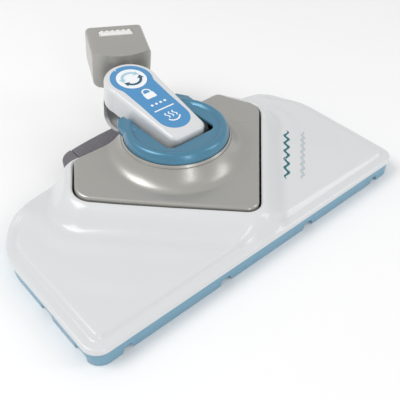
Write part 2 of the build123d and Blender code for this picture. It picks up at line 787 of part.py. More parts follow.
with BuildPart() as steam_coupling:
    with Locations((tube_x, pivot_reach - 10, tube_z)):
        Cylinder(4.6, 5, rotation=(90, 0, 0))
        Cylinder(tube_r, 9, rotation=(90, 0, 0), mode=Mode.SUBTRACT)
save(steam_coupling.part, "steam_coupling", arm_plane)

# ---- neck: socket for the handle tube, drawn in the neck's own plane ----------------------

socket_high, socket_low = 13.0, -5.0
socket_half = 18.5
pocket_floor = 14.6
screw_pair = [(-3.2, 35.5), (3.2, 35.5)]

with BuildPart() as neck_housing:
    half = neck_width / 2
    with BuildSketch(Plane.XY.offset(neck_bottom)) as block:
        with BuildLine():
            ThreePointArc((-half, neck_front), (0, nose_reach), (half, neck_front))
            Polyline((half, neck_front), (half, neck_rear), (-half, neck_rear), (-half, neck_front))
        make_face()
    extrude(amount=neck_top - neck_bottom)
    fillet(neck_housing.edges().filter_by(Axis.Y), neck_edge_r)
    # socket for the handle tube
    with BuildSketch(Plane.XZ.offset(-neck_rear)):
        with Locations((0, (socket_high + socket_low) / 2)):
            RectangleRounded(2 * socket_half, socket_high - socket_low, 4)
    extrude(amount=socket_depth, mode=Mode.SUBTRACT)
    # pocket of the release button, with the hole for its latch pin
    button_mid = button_near + button_length / 2
    with BuildSketch(Plane.XY.offset(pocket_floor)):
        with Locations((0, button_mid)):
            RectangleRounded(button_width, button_length, 2)
    extrude(amount=10, mode=Mode.SUBTRACT)
    with Locations(*[(side * 9, button_mid, 12) for side in (-1, 1)]):
        Cylinder(2.0, 10, mode=Mode.SUBTRACT)
    # slot for the knuckle's tongue and the two screws that hold it
    with Locations((0, 20, 0)):
        Box(
            2 * tongue_half + 0.2, 20, 2 * knuckle_half + 0.2,
            align=(Align.CENTER, Align.MIN, Align.CENTER), mode=Mode.SUBTRACT,
        )
    with Locations(*[(x, y, neck_bottom) for x, y in screw_pair]):
        Cylinder(1.3, 24, mode=Mode.SUBTRACT)
        Cylinder(2.5, 3.0, mode=Mode.SUBTRACT)
save(neck_housing.part, "neck_housing", neck_plane)

with BuildPart() as neck_knuckle:
    with BuildSketch(Plane.XY.offset(-knuckle_half)):
        Circle(knuckle_r)
        with Locations((0, 25.5)):
            Rectangle(2 * tongue_half, 28.6)
        Circle(swivel_pin_r + running, mode=Mode.SUBTRACT)
    extrude(amount=2 * knuckle_half)
    with Locations(*[(x, y, neck_bottom) for x, y in screw_pair]):
        Cylinder(1.3, 24, mode=Mode.SUBTRACT)
save(neck_knuckle.part, "neck_knuckle", neck_plane)

with BuildPart() as neck_screws:
    with Locations(*[(x, y, neck_bottom + 1.5) for x, y in screw_pair]):
        Cylinder(1.3, 10.4, align=(Align.CENTER, Align.CENTER, Align.MIN))
        Cylinder(2.4, 1.4, align=(Align.CENTER, Align.CENTER, Align.MAX))
save(neck_screws.part, "neck_screws", neck_plane)

with BuildPart() as socket_liner:
    with BuildSketch(Plane.XZ.offset(-neck_rear + 0.5)):
        with Locations((0, (socket_high + socket_low) / 2)):
            RectangleRounded(2 * socket_half - 0.1, socket_high - socket_low - 0.1, 3.9)
            RectangleRounded(2 * socket_half - 3, socket_high - socket_low - 3, 2.6, mode=Mode.SUBTRACT)
    extrude(amount=socket_depth - 2)
    with Locations(*[(side * 9, button_mid, 12) for side in (-1, 1)]):
        Cylinder(2.2, 6, mode=Mode.SUBTRACT)
save(socket_liner.part, "socket_liner", neck_plane)

inlet_start = neck_rear - socket_depth
with BuildPart() as steam_inlet:
    with BuildSketch(Plane.XZ.offset(-inlet_start)):
        with Locations((0, 3)):
            Circle(3.4)
            Circle(1.8, mode=Mode.SUBTRACT)
    extrude(amount=-15)
    with BuildSketch(Plane.XZ.offset(-inlet_start)):
        with Locations((0, 3)):
            Circle(6.0)
            Circle(1.8, mode=Mode.SUBTRACT)
    extrude(amount=-2)
save(steam_inlet.part, "steam_inlet", neck_plane)

with BuildPart() as inlet_seal:
    with BuildSketch(Plane.XZ.offset(-inlet_start - 9)):
        with Locations((0, 3)):
            Circle(4.6)
            Circle(3.4, mode=Mode.SUBTRACT)
    extrude(amount=-1.6)
save(inlet_seal.part, "inlet_seal", neck_plane)

# the spring is drawn at its pressed length, inside the button's hollow underside
save(spring(2.2, 0.5, 2.6, 3, Plane((0, button_mid, pocket_floor + 0.05))), "button_spring", neck_plane)

button_low = pocket_floor + button_travel + 0.3
button_top = neck_top + 0.6
with BuildPart() as release_button:
    with BuildSketch(Plane.XY.offset(button_low)):
        with Locations((0, button_mid)):
            RectangleRounded(button_width - 0.6, button_length - 0.6, 1.8)
    extrude(amount=button_top - button_low - 0.9)
    with BuildSketch(Plane.XY.offset(button_top - 0.9)):
        with Locations((0, button_mid - 1.6)):
            Rectangle(button_width - 3, 4.4)
        with Locations((0, button_mid + 2.2)):
            with GridLocations(4.7, 1, 6, 1):
                Rectangle(2.6, 2.6)
    extrude(amount=0.9)
    with Locations((0, button_mid, button_low)):
        Cylinder(2.6, 6.4, mode=Mode.SUBTRACT)
    with Locations(*[(side * 9, button_mid, button_low) for side in (-1, 1)]):
        Cylinder(1.5, 3.5, align=(Align.CENTER, Align.CENTER, Align.MAX))
save(release_button.part, "release_button", neck_plane)
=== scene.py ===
"""Looks of a steam mop floor head, laid out as an add-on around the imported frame."""

import json
import math

import bmesh
import bpy
import numpy as np
from bpy.props import FloatProperty, FloatVectorProperty, IntProperty, PointerProperty
from mathutils import Matrix, Vector

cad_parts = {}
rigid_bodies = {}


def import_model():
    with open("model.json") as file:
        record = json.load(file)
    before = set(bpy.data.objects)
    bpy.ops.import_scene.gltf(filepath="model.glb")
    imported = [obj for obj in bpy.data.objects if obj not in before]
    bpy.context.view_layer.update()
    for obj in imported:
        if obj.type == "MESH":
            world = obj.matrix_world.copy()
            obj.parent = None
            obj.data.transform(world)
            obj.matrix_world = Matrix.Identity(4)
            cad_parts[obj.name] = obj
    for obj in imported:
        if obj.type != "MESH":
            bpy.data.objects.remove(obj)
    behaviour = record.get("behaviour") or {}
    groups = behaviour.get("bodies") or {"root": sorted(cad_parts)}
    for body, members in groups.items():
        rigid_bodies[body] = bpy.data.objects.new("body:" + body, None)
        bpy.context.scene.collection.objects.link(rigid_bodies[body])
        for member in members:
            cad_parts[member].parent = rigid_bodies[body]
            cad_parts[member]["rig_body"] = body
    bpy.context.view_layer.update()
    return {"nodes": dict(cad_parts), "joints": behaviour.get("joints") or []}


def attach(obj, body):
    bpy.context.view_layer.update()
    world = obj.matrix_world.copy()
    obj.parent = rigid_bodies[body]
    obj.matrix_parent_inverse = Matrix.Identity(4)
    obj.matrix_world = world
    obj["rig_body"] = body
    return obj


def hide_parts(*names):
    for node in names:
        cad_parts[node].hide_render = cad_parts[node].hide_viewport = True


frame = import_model()

bl_info = {
    "name": "Floor Head Looks",
    "version": (1, 0, 0),
    "blender": (4, 5, 0),
    "location": "3D View > Sidebar > Floor Head",
    "description": "Builds the shaped skins, label, marks and finishes of a steam mop floor head",
    "category": "Object",
}

MM = 0.001

# sizes in millimetres that several pieces share
HEAD_GAP = 1.6          # clearance between the wide head and the detail head
SHELL_FOOT = 12.5       # lower edge of the white shell
COVER_FOOT = 20.0       # lower edge of the grey cover
HUB_HEIGHT = 50.0       # where the grey cover meets the hub ring
DRUM_REACH = 58.0       # tilt axis to swivel axis, along the arm
ARM_TOP = 20.7          # the arm's top face over the tilt axis
SHEET_WALL = 2.0        # wall of the grey cover and of the arm

# ---- places read from the frame --------------------------------------------------------

joints = {j["name"]: j for j in frame["joints"]}
tilt_point = Vector(joints["arm_tilt"]["pos_m"]) / MM
pivot_point = Vector(joints["neck_swivel"]["pos_m"]) / MM
arm_normal = Vector(joints["neck_swivel"]["axis"]).normalized()
arm_back = arm_normal.cross(Vector((1, 0, 0))).normalized()


def plane_matrix(origin, x_dir, normal):
    """Places a mesh drawn flat in millimetres onto the plane through origin."""
    y_dir = normal.cross(x_dir).normalized()
    columns = Matrix((x_dir, y_dir, normal)).transposed().to_4x4()
    return Matrix.Scale(MM, 4) @ Matrix.Translation(origin) @ columns


arm_place = plane_matrix(tilt_point, Vector((1, 0, 0)), arm_normal)
neck_turn = math.radians(-23.4)
neck_x = Vector((1, 0, 0)) * math.cos(neck_turn) + arm_back * math.sin(neck_turn)
neck_place = plane_matrix(pivot_point, neck_x, arm_normal)
head_place = Matrix.Scale(MM, 4)


# ---- shader helpers --------------------------------------------------------------------


class Value:
    """A number that varies over a surface; arithmetic on it adds Math nodes."""

    def __init__(self, finish, socket):
        self.finish = finish
        self.socket = socket

    def combine(self, operation, first, second):
        node = self.finish.node("ShaderNodeMath", {"operation": operation}, {0: first, 1: second})
        return Value(self.finish, node.outputs[0])

    def __add__(self, other):
        return self.combine("ADD", self, other)

    def __radd__(self, other):
        return self.combine("ADD", other, self)

    def __sub__(self, other):
        return self.combine("SUBTRACT", self, other)

    def __rsub__(self, other):
        return self.combine("SUBTRACT", other, self)

    def __mul__(self, other):
        return self.combine("MULTIPLY", self, other)

    def __rmul__(self, other):
        return self.combine("MULTIPLY", other, self)


class Finish:
    """A material and the few ways its nodes are made."""

    def __init__(self, name):
        self.material = bpy.data.materials.new(name)
        self.material.use_nodes = True
        self.tree = self.material.node_tree
        self.shader = next(n for n in self.tree.nodes if n.type == "BSDF_PRINCIPLED")

    def node(self, kind, settings=None, inputs=None):
        node = self.tree.nodes.new(kind)
        for key, value in (settings or {}).items():
            setattr(node, key, value)
        for key, value in (inputs or {}).items():
            self.feed(node.inputs[key], value)
        return node

    def feed(self, socket, value):
        if isinstance(value, Value):
            value = value.socket
        if isinstance(value, bpy.types.NodeSocket):
            self.tree.links.new(value, socket)
        else:
            socket.default_value = value

    def noise(self, scale, detail=3.0, stretch=(1, 1, 1)):
        """A soft noise in metres over the object, as a value."""
        place = self.node("ShaderNodeTexCoord").outputs["Object"]
        mapping = self.node("ShaderNodeMapping", {}, {"Vector": place, "Scale": stretch})
        texture = self.node(
            "ShaderNodeTexNoise", {"noise_dimensions": "3D"},
            {"Vector": mapping.outputs[0], "Scale": scale, "Detail": detail, "Roughness": 0.55},
        )
        return Value(self, texture.outputs[0])

    def tint(self, factor, low, high):
        """A colour between two colours."""
        node = self.node("ShaderNodeMix", {"data_type": "RGBA"}, {0: factor, 6: (*low, 1), 7: (*high, 1)})
        return node.outputs[2]

    def bump(self, height, strength, distance):
        """A bumped normal from a height value."""
        node = self.node(
            "ShaderNodeBump", {}, {"Height": height, "Strength": strength, "Distance": distance}
        )
        return node.outputs[0]


finishes = {}


def linear(colour):
    """Turns a display colour into a linear one."""
    return tuple(c / 12.92 if c <= 0.04045 else ((c + 0.055) / 1.055) ** 2.4 for c in colour)


def moulded(name, colour, rough, metallic=0.0, coat=0.0, grain=0.02, grain_scale=2600, mottle=0.04,
            stretch=(1, 1, 1)):
    """A moulded or lacquered finish with faint mottle, uneven gloss and a fine grain."""
    if name in finishes:
        return finishes[name]
    finish = Finish(name)
    base = linear(colour)
    cloud = finish.noise(38, 4, stretch)
    fine = finish.noise(grain_scale, 2, stretch)
    dark = tuple(c * (1 - mottle) for c in base)
    light = tuple(min(c * (1 + mottle), 1) for c in base)
    finish.feed(finish.shader.inputs["Base Color"], finish.tint(cloud, dark, light))
    finish.feed(finish.shader.inputs["Roughness"], (cloud - 0.5) * 0.12 + (fine - 0.5) * 0.06 + rough)
    finish.feed(finish.shader.inputs["Normal"], finish.bump(fine, grain, 0.0004))
    finish.shader.inputs["Metallic"].default_value = metallic
    finish.shader.inputs["Coat Weight"].default_value = coat
    finish.shader.inputs["Coat Roughness"].default_value = 0.08
    finishes[name] = finish.material
    return finish.material


def rough_grip(name, colour):
    """A dark moulding with a coarse spark-eroded texture."""
    if name in finishes:
        return finishes[name]
    finish = Finish(name)
    base = linear(colour)
    grit = finish.noise(900, 5)
    cloud = finish.noise(60, 3)
    shade = grit * 0.6 + cloud * 0.4
    dark, light = tuple(c * 0.6 for c in base), tuple(c * 1.4 for c in base)
    finish.feed(finish.shader.inputs["Base Color"], finish.tint(shade, dark, light))
    finish.feed(finish.shader.inputs["Roughness"], 0.55 + (grit - 0.5) * 0.3)
    finish.feed(finish.shader.inputs["Normal"], finish.bump(grit, 0.6, 0.0006))
    finishes[name] = finish.material
    return finish.material


def woven(name, colour):
    """Hook tape: a grid of tiny loops."""
    if name in finishes:
        return finishes[name]
    finish = Finish(name)
    base = linear(colour)
    place = finish.node("ShaderNodeTexCoord").outputs["Object"]
    rows = [
        Value(finish, finish.node(
            "ShaderNodeTexWave", {"wave_type": "BANDS", "bands_direction": axis},
            {"Vector": place, "Scale": 420, "Distortion": 0.6, "Detail": 1},
        ).outputs[1])
        for axis in ("X", "Y")
    ]
    loops = rows[0] * rows[1]
    finish.feed(finish.shader.inputs["Base Color"], finish.tint(loops, tuple(c * 0.55 for c in base), base))
    finish.feed(finish.shader.inputs["Roughness"], 0.95 - loops * 0.15)
    finish.feed(finish.shader.inputs["Normal"], finish.bump(loops, 0.8, 0.0005))
    finishes[name] = finish.material
    return finish.material


def white_gloss():
    return moulded("white_gloss_moulding", (0.855, 0.86, 0.865), 0.24, coat=0.35, grain=0.012, mottle=0.015)


def warm_grey():
    return moulded("warm_grey_lacquer", (0.685, 0.68, 0.66), 0.30, metallic=0.5, coat=0.25,
                   grain=0.05, grain_scale=5200, mottle=0.03)


def hub_blue():
    return moulded("hub_blue_lacquer", (0.30, 0.52, 0.63), 0.30, metallic=0.35, coat=0.3,
                   grain=0.06, grain_scale=5200, mottle=0.05)


def band_blue():
    return moulded("band_blue_moulding", (0.46, 0.63, 0.72), 0.36, coat=0.15, grain=0.05, mottle=0.04)


def black_plastic():
    return moulded("black_moulding", (0.09, 0.09, 0.095), 0.42, grain=0.08, mottle=0.15)


def pale_grey():
    return moulded("pale_grey_moulding", (0.62, 0.63, 0.64), 0.45, grain=0.06, mottle=0.05)


def steel():
    return moulded("turned_steel", (0.70, 0.70, 0.71), 0.28, metallic=1.0, grain=0.08,
                   grain_scale=1500, mottle=0.08, stretch=(1, 1, 6))


def brass():
    return moulded("turned_brass", (0.78, 0.62, 0.34), 0.30, metallic=1.0, grain=0.08,
                   grain_scale=1500, mottle=0.10)


def rubber():
    return moulded("black_rubber", (0.07, 0.07, 0.07), 0.7, grain=0.15, grain_scale=1800, mottle=0.2)


# ---- mesh helpers ----------------------------------------------------------------------


def new_object(name, verts, faces, material, place=head_place, smooth=True):
    """A mesh object at the origin from points in millimetres on a placed plane."""
    mesh = bpy.data.meshes.new(name)
    mesh.from_pydata([tuple(v) for v in verts], [], [tuple(f) for f in faces])
    mesh.transform(place)
    mesh.update()
    obj = bpy.data.objects.new(name, mesh)
    bpy.context.scene.collection.objects.link(obj)
    mesh.materials.append(material)
    if smooth:
        mesh.shade_smooth()
    return obj


def outward(obj):
    """Merges doubles and turns every face of a closed mesh outwards."""
    bm = bmesh.new()
    bm.from_mesh(obj.data)
    bmesh.ops.remove_doubles(bm, verts=bm.verts, dist=1e-7)
    bmesh.ops.recalc_face_normals(bm, faces=bm.faces)
    bm.to_mesh(obj.data)
    bm.free()


def apply_modifiers(obj):
    """Replaces the mesh by its evaluated form and drops the modifiers."""
    graph = bpy.context.evaluated_depsgraph_get()
    mesh = bpy.data.meshes.new_from_object(obj.evaluated_get(graph))
    obj.modifiers.clear()
    old = obj.data
    obj.data = mesh
    bpy.data.meshes.remove(old)


def soften(obj, width, angle=38, segments=3):
    """Rounds the sharp edges of a mesh and smooths its shading."""
    bevel = obj.modifiers.new("soft_edges", "BEVEL")
    bevel.width = width * MM
    bevel.segments = segments
    bevel.limit_method = "ANGLE"
    bevel.angle_limit = math.radians(angle)
    bevel.use_clamp_overlap = True
    apply_modifiers(obj)
    obj.data.shade_smooth()
    obj.data.set_sharp_from_angle(angle=math.radians(42))


def from_node(node, material, width, name=None):
    """A softened copy of a CAD node that stands for it."""
    source = frame["nodes"][node]
    mesh = source.data.copy()
    obj = bpy.data.objects.new(name or node + "_skin", mesh)
    bpy.context.scene.collection.objects.link(obj)
    mesh.materials.clear()
    mesh.materials.append(material)
    bm = bmesh.new()
    bm.from_mesh(mesh)
    bmesh.ops.remove_doubles(bm, verts=bm.verts, dist=2e-6)
    bmesh.ops.dissolve_limit(bm, angle_limit=math.radians(0.6), verts=bm.verts, edges=bm.edges)
    bm.to_mesh(mesh)
    bm.free()
    soften(obj, width)
    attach(obj, source["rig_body"])
    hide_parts(node)
    return obj


def face_up(obj, weld=True):
    """Turns an open sheet so that its faces look up."""
    bm = bmesh.new()
    bm.from_mesh(obj.data)
    if weld:
        bmesh.ops.remove_doubles(bm, verts=bm.verts, dist=2e-6)
    if sum(f.normal.z for f in bm.faces) < 0:
        bmesh.ops.reverse_faces(bm, faces=bm.faces)
    bm.to_mesh(obj.data)
    bm.free()


def thicken(obj, thickness):
    """Gives a sheet a wall that grows inwards."""
    wall = obj.modifiers.new("wall", "SOLIDIFY")
    wall.thickness = thickness
    wall.offset = -1
    apply_modifiers(obj)


def smooth_shade(obj):
    """Shades a shaped skin smoothly and keeps its real edges."""
    obj.data.shade_smooth()
    obj.data.set_sharp_from_angle(angle=math.radians(50))


def paint(node, material):
    """Gives a carried-over CAD node its finish."""
    obj = frame["nodes"][node]
    for slot in obj.material_slots:
        slot.material = material


def rounded_outline(points, radii, steps=10):
    """A closed outline with rounded corners, as an array of x, y."""
    out = []
    count = len(points)
    for i in range(count):
        here = np.array(points[i], float)
        before = np.array(points[i - 1], float)
        after = np.array(points[(i + 1) % count], float)
        to_before = (before - here) / np.linalg.norm(before - here)
        to_after = (after - here) / np.linalg.norm(after - here)
        radius = radii[i]
        if radius <= 0:
            out.append(here)
            continue
        half = math.acos(float(np.clip(to_before @ to_after, -1, 1))) / 2
        reach = radius / math.tan(half)
        middle = to_before + to_after
        centre = here + middle / np.linalg.norm(middle) * radius / math.sin(half)
        start = here + to_before * reach - centre
        end = here + to_after * reach - centre
        a0 = math.atan2(start[1], start[0])
        sweep = (math.atan2(end[1], end[0]) - a0 + math.pi) % (2 * math.pi) - math.pi
        for k in range(steps + 1):
            a = a0 + sweep * k / steps
            out.append(centre + radius * np.array([math.cos(a), math.sin(a)]))
    return np.array(out)


def resample(line, count, closed=True):
    """Evenly spaced points along a polyline."""
    pts = np.vstack([line, line[:1]]) if closed else line
    steps = np.concatenate([[0], np.cumsum(np.linalg.norm(np.diff(pts, axis=0), axis=1))])
    at = np.linspace(0, steps[-1], count + 1 if closed else count)
    if closed:
        at = at[:-1]
    return np.stack([np.interp(at, steps, pts[:, i]) for i in range(pts.shape[1])], axis=1)


def distance_to(points, outline):
    """Distance from each point to a closed outline."""
    a = outline
    b = np.roll(outline, -1, axis=0)
    best = np.full(len(points), 1e9)
    for p, q in zip(a, b):
        along = q - p
        length2 = float(along @ along)
        if length2 < 1e-12:
            continue
        t = np.clip(((points - p) @ along) / length2, 0, 1)
        best = np.minimum(best, np.linalg.norm(points - (p + t[:, None] * along), axis=1))
    return best


def smooth_step(value, low, high):
    t = np.clip((value - low) / (high - low), 0, 1)
    return t * t * (3 - 2 * t)


def ray_reach(outline, angles):
    """Radius at which rays from the hub axis meet a star-shaped outline."""
    dense = resample(outline, 4000)
    ang = np.arctan2(dense[:, 1], dense[:, 0])
    rad = np.linalg.norm(dense, axis=1)
    order = np.argsort(ang)
    ang, rad = ang[order], rad[order]
    ang = np.concatenate([ang - 2 * math.pi, ang, ang + 2 * math.pi])
    rad = np.tile(rad, 3)
    return np.interp(angles, ang, rad)


def grid_faces(rows, columns):
    """Quads of a grid whose points run row by row."""
    return [
        (r * columns + c, r * columns + c + 1, (r + 1) * columns + c + 1, (r + 1) * columns + c)
        for r in range(rows - 1) for c in range(columns - 1)
    ]


# ---- outlines in millimetres -----------------------------------------------------------


def head_outline():
    """The wide head's outline."""
    return rounded_outline(
        [(-147, -105), (147, -105), (150, 30), (84, 42), (-84, 42), (-150, 30)],
        [12, 12, 50, 4, 4, 50], 16,
    )


def detail_outline(grow=0.0):
    """The detail head's outline, moved outwards by grow."""
    k = grow * math.sqrt(2)
    wing = (92 + 1.27 * grow, 1.0 - 0.145 * grow)
    tail = (72 + 0.554 * grow, 33 + grow)
    return rounded_outline(
        [(0, -91 - k), wing, tail, (-tail[0], tail[1]), (-wing[0], wing[1])],
        [9 + grow, 14 + grow, max(6 + grow, 2), max(6 + grow, 2), 14 + grow], 14,
    )


skyline_fit = np.polyfit([-103, -45, 0, 47], [34.0, 34.8, 36.8, 44.5], 3)


def skyline(y):
    """Height of the detail head's top plate at y."""
    return np.polyval(skyline_fit, y)


# ---- properties ------------------------------------------------------------------------


class FloorHeadSizes(bpy.types.PropertyGroup):
    """Sizes of the skins that a user may change."""

    wave_height: FloatProperty(
        name="Wave height", description="Height of the shallow waves in the white shell",
        default=0.5 * MM, unit="LENGTH",
    )
    wave_length: FloatProperty(
        name="Wave length", description="Distance between two waves",
        default=31 * MM, unit="LENGTH",
    )
    shell_wall: FloatProperty(
        name="Shell wall", description="Thickness of the white shell",
        default=2.0 * MM, unit="LENGTH",
    )
    arm_edge: FloatProperty(
        name="Arm edge radius", description="Rounding of the arm's top edge",
        default=3.4 * MM, unit="LENGTH",
    )
    rib_count: IntProperty(name="Button ribs", description="Number of ribs on the release button", default=6)
    rib_width: FloatProperty(
        name="Rib width", description="Width of one rib on the release button",
        default=2.7 * MM, unit="LENGTH",
    )


class FloorHeadColours(bpy.types.PropertyGroup):
    """Colours that a user may change."""

    label: FloatVectorProperty(
        name="Label", description="Colour of the printed label",
        default=(0.27, 0.56, 0.77), subtype="COLOR", min=0, max=1,
    )
    wave_mark: FloatVectorProperty(
        name="Wave mark", description="Colour of the wavy printed line",
        default=(0.10, 0.42, 0.46), subtype="COLOR", min=0, max=1,
    )
    pale_mark: FloatVectorProperty(
        name="Pale mark", description="Colour of the pale printed line",
        default=(0.74, 0.78, 0.80), subtype="COLOR", min=0, max=1,
    )


# ---- the stage -------------------------------------------------------------------------


def area_light(name, place, target, size, power, tint=(1, 1, 1)):
    data = bpy.data.lights.new(name, "AREA")
    data.shape = "RECTANGLE"
    data.size, data.size_y = size
    data.energy = power
    data.color = tint
    light = bpy.data.objects.new(name, data)
    bpy.context.scene.collection.objects.link(light)
    light.location = place
    light.rotation_euler = (Vector(target) - Vector(place)).to_track_quat("-Z", "Y").to_euler()
    return light


class FLOORHEAD_OT_stage(bpy.types.Operator):
    """Makes the floor, the lights and the camera"""

    bl_idname = "floorhead.stage"
    bl_label = "Stage"

    def execute(self, context):
        half = 3.0
        floor = new_object(
            "floor", [(-half, -half, 0), (half, -half, 0), (half, half, 0), (-half, half, 0)],
            [(0, 1, 2, 3)], moulded("pale_floor", (0.985, 0.985, 0.985), 0.9, grain=0.01, mottle=0.005),
            Matrix.Translation((0, 0, -0.0002)), False,
        )
        world = bpy.data.worlds.new("soft_room")
        context.scene.world = world
        world.use_nodes = True
        world.node_tree.nodes["Background"].inputs[0].default_value = (1, 1, 1, 1)
        world.node_tree.nodes["Background"].inputs[1].default_value = 0.66
        area_light("key_box", (-0.75, 0.35, 1.15), (0, 0, 0), (0.7, 0.7), 7)
        area_light("fill_box", (0.9, -0.9, 0.7), (0, 0, 0.02), (0.4, 0.9), 2.6)
        area_light("front_box", (-0.35, -1.25, 0.55), (0, 0, 0.03), (0.22, 0.8), 2.2)
        context.scene.view_settings.view_transform = "Standard"
        context.scene.view_settings.look = "None"
        azimuth, elevation = math.radians(-40.54), math.radians(42.12)
        back = Vector((
            math.sin(azimuth) * math.cos(elevation), -math.cos(azimuth) * math.cos(elevation),
            math.sin(elevation),
        ))
        data = bpy.data.cameras.new("camera")
        data.lens = 49.66
        data.sensor_width = 36
        data.clip_start = 0.01
        camera = bpy.data.objects.new("camera", data)
        context.scene.collection.objects.link(camera)
        camera.location = Vector((-0.2120, -0.2756, 0.2943))
        camera.rotation_euler = (-back).to_track_quat("-Z", "Y").to_euler()
        context.scene.camera = camera
        return {"FINISHED"}


# ---- wide head -------------------------------------------------------------------------

SHELL_FROM, SHELL_TO = math.radians(-208.5), math.radians(28.5)


def shell_height(points, sizes):
    """Height of the white shell's outer face over each point."""
    x, y = points[:, 0], points[:, 1]
    edge = distance_to(points, head_outline())
    gap = distance_to(points, detail_outline(HEAD_GAP))
    ledge = 1 - smooth_step(y, 12, 30)
    rim = SHELL_FOOT + 2.0 * ledge + 5.6 * (1 - ledge)
    crown = np.sqrt(np.clip(1 - (1 - np.clip(edge / 2.0, 0, 1)) ** 2, 0, 1))
    level = rim + 2.0 * crown
    level += ledge * (0.3 * np.clip(edge / 7, 0, 1) + 3.4 * smooth_step(edge, 6.2, 10.4))
    level += 1.6 * smooth_step(edge, 12, 70)
    fall = 0.5 * (1 + np.cos(math.pi * np.clip((gap - 0.6) / 20.5, 0, 1)))
    crest = skyline(y) - 1.2 - 3.0 * smooth_step(y, 8, 40)
    height = level + (crest - level) * fall * smooth_step(edge, -0.5, 6)
    turn = (gap - 17 + 0.05 * (y + 40)) / (sizes.wave_length / MM)
    wave = np.sin(2 * math.pi * turn - 0.55 * np.sin(2 * math.pi * turn))
    height += sizes.wave_height / MM * wave * smooth_step(gap, 12, 30) * smooth_step(edge, 10, 30)
    # a broad shoulder behind each wing
    shoulder = np.exp(-((np.abs(x) - 121) / 9.0) ** 2) * smooth_step(y, 8, 34)
    height += 3.0 * shoulder * smooth_step(edge, 0, 5)
    # the edge along the gap is slightly rounded
    height -= 0.9 * (1 - smooth_step(gap, 0, 1.0))
    return height


class FLOORHEAD_OT_shell(bpy.types.Operator):
    """Builds the white shell with its ledge, waves and rise towards the detail head"""

    bl_idname = "floorhead.shell"
    bl_label = "White shell"

    def execute(self, context):
        sizes = context.scene.floorhead_sizes
        outline = head_outline()
        # angles are spread by length along the outline, so the corners stay crisp
        dense = resample(outline, 6000)
        angle = np.arctan2(dense[:, 1], dense[:, 0])
        angle = np.where(angle > SHELL_TO, angle - 2 * math.pi, angle)
        keep = angle >= SHELL_FROM
        order = np.argsort(angle[keep])
        arc = angle[keep][order]
        columns = 430
        angles = np.interp(np.linspace(0, len(arc) - 1, columns), np.arange(len(arc)), arc)
        outer = ray_reach(outline, angles)
        inner = ray_reach(detail_outline(HEAD_GAP), angles)
        near_rim = np.array([
            0, 0.12, 0.35, 0.7, 1.1, 1.6, 2.2, 4, 5.8, 6.6, 7.3, 8, 8.7, 9.4, 10.1, 11, 12.5, 15,
        ])
        across = np.concatenate([[0, 0.004, 0.01, 0.02], np.linspace(0.035, 1, 34)[:-1]])
        rows = []
        unit = np.stack([np.cos(angles), np.sin(angles)], axis=1)
        room = outer - inner
        # a skirt inside the gap, then the top face, then the outer wall
        skirt_foot = SHELL_FOOT + 1.0
        gap_points = unit * inner[:, None]
        gap_height = shell_height(gap_points, sizes)
        for share in (0, 0.35, 0.7, 0.92):
            rows.append(np.column_stack([gap_points, skirt_foot + (gap_height - skirt_foot) * share]))
        reach = np.minimum(near_rim[-1], room * 0.6)
        for t in across:
            points = unit * (inner + (room - reach) * t)[:, None]
            rows.append(np.column_stack([points, shell_height(points, sizes)]))
        for back in near_rim[::-1]:
            points = unit * (outer - back * reach / near_rim[-1])[:, None]
            rows.append(np.column_stack([points, shell_height(points, sizes)]))
        rim_points = unit * outer[:, None]
        rim_height = rows[-1][:, 2]
        for share in (0.66, 0.33, 0.0):
            rows.append(np.column_stack([rim_points, SHELL_FOOT + (rim_height - SHELL_FOOT) * share]))
        verts = np.vstack(rows)
        obj = new_object("white_shell", verts, grid_faces(len(rows), columns), white_gloss())
        face_up(obj)
        thicken(obj, sizes.shell_wall)
        smooth_shade(obj)
        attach(obj, "carriage")
        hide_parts("outer_shell")
        return {"FINISHED"}


class FLOORHEAD_OT_base(bpy.types.Operator):
    """Finishes the coloured base band, its pads and screws"""

    bl_idname = "floorhead.base"
    bl_label = "Base band"

    def execute(self, context):
        band = from_node("base_plate", band_blue(), 0.5, "base_band")
        paint("base_screws", steel())
        paint("pad_strips", woven("hook_tape", (0.80, 0.81, 0.82)))
        return {"FINISHED"}


class FLOORHEAD_OT_step(bpy.types.Operator):
    """Finishes the rear step and pedal, and adds the apron and the pedal's ribs"""

    bl_idname = "floorhead.step"
    bl_label = "Rear step and pedal"

    def execute(self, context):
        grip = rough_grip("dark_grip", (0.46, 0.45, 0.47))
        from_node("rear_step", grip, 0.8, "step_frame")
        paint("release_pedal", grip)
        # a thin apron closes the step between the head and the pedal, under the latch fingers
        sheet = np.array([(-52.5, 41.2), (52.5, 41.2), (52.5, 45.4), (-52.5, 45.4)])
        apron = slab("step_apron", sheet, 14.4, 15.6, grip, head_place)
        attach(apron, "carriage")
        pitch, count = 2.6, 39
        ribs = grow_tree(
            "pedal_ribs", rib_tree(),
            {"Count": count, "Spacing": pitch, "Rib Width": 1.1, "Rib Length": 25.0,
             "Start": (-pitch * (count - 1) / 2, 60.0, 15.75), "Material": grip}, head_place,
        )
        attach(ribs, "release_pedal")
        paint("pedal_pin", steel())
        paint("pedal_spring", steel())
        return {"FINISHED"}


# ---- detail head -----------------------------------------------------------------------


